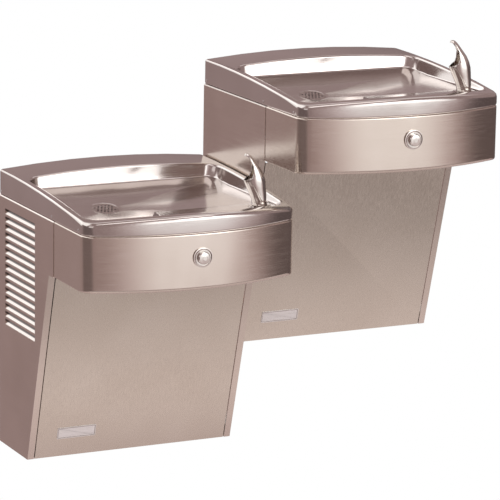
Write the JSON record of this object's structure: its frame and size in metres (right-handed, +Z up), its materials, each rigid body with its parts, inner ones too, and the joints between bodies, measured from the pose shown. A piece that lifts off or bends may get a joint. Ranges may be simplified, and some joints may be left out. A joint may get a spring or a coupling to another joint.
{
  "type": "drinking fountain",
  "caption": "Bi-level wall-hung drinking fountain: bowed stainless basins with hooded bubblers over slant-front cabinets, push-button valves and a louvered chiller side.",
  "frame": {"origin": "centre of the lower unit's four wall bolts, on the wall", "axes": "+X to the right along the wall, towards the upper unit; +Y into the wall; +Z up"},
  "size_m": [0.921, 0.514, 0.8839],
  "materials": {
    "basin_steel": "satin with a faint grain, bright along the rolled edges",
    "apron_steel": "satin",
    "side_steel": "satin",
    "front_steel": "satin",
    "bright_chrome": "polished",
    "bright_steel": "polished",
    "plate": "satin, bare",
    "zinc_steel": "zinc coated",
    "plumbing_brass": "plain",
    "spring_steel": "drawn wire",
    "copper_tube": "drawn copper",
    "fin_metal": "bare fins",
    "black_plastic": "matte",
    "black_paint": "semi gloss",
    "black_rubber": "matte",
    "foam_cover": "closed foam",
    "grey_plastic": "matte"
  },
  "bodies": {
    "fountain": {"basin_lower": "basin_steel", "drain_strainer_lower": "bright_steel", "drain_cup_lower": "grey_plastic", "drain_trap_lower": "grey_plastic", "slip_nuts_lower": "grey_plastic", "bubbler_lower": "bright_chrome", "bubbler_nut_lower": "plumbing_brass", "button_spring_lower": "spring_steel", "button_bezel_lower": "bright_chrome", "valve_body_lower": "plumbing_brass", "water_tubes_lower": "copper_tube", "apron_lower": "apron_steel", "under_pan_lower": "zinc_steel", "side_panel_left_lower": "side_steel", "side_panel_right_lower": "side_steel", "frame_lower": "zinc_steel", "access_panel_lower": "front_steel", "nameplate_lower": "plate", "wall_hanger_lower": "zinc_steel", "skirt_screws_lower": "bright_steel", "panel_screws_lower": "bright_steel", "basin_upper": "basin_steel", "drain_strainer_upper": "bright_steel", "drain_cup_upper": "grey_plastic", "drain_trap_upper": "grey_plastic", "slip_nuts_upper": "grey_plastic", "bubbler_upper": "bright_chrome", "bubbler_nut_upper": "plumbing_brass", "button_spring_upper": "spring_steel", "button_bezel_upper": "bright_chrome", "valve_body_upper": "plumbing_brass", "water_tubes_upper": "copper_tube", "apron_upper": "apron_steel", "under_pan_upper": "zinc_steel", "side_panel_left_upper": "side_steel", "side_panel_right_upper": "side_steel", "frame_upper": "zinc_steel", "access_panel_upper": "front_steel", "nameplate_upper": "plate", "wall_hanger_upper": "zinc_steel", "skirt_screws_upper": "bright_steel", "panel_screws_upper": "bright_steel", "condenser": "fin_metal", "fan_shroud": "zinc_steel", "fan_motor": "black_paint", "compressor": "black_paint", "compressor_feet": "black_rubber", "cooling_tank": "foam_cover", "thermostat": "grey_plastic", "filter_drier": "copper_tube", "refrigerant_lines": "copper_tube", "power_gland": "black_plastic", "crossover_tube": "copper_tube"},
    "button_lower": {"push_button_lower": "bright_chrome", "valve_stem_lower": "grey_plastic"},
    "button_upper": {"push_button_upper": "bright_chrome", "valve_stem_upper": "grey_plastic"},
    "fan": {"fan_blade": "black_plastic"}
  },
  "joints": [
    {"name": "button_press_lower", "type": "slide", "parent": "fountain", "child": "button_lower", "axis": [0, 1, 0], "range_m": [0, 0.004], "stiffness_N_per_m": 400, "springref_m": -0.004, "deforming": ["button_spring_lower"]},
    {"name": "button_press_upper", "type": "slide", "parent": "fountain", "child": "button_upper", "axis": [0, 1, 0], "range_m": [0, 0.004], "stiffness_N_per_m": 400, "springref_m": -0.004, "deforming": ["button_spring_upper"]},
    {"name": "fan_spin", "type": "hinge", "parent": "fountain", "child": "fan", "pos_m": [-0.1693, -0.137, -0.07803], "axis": [1, 0, 0], "continuous": true}
  ]
}
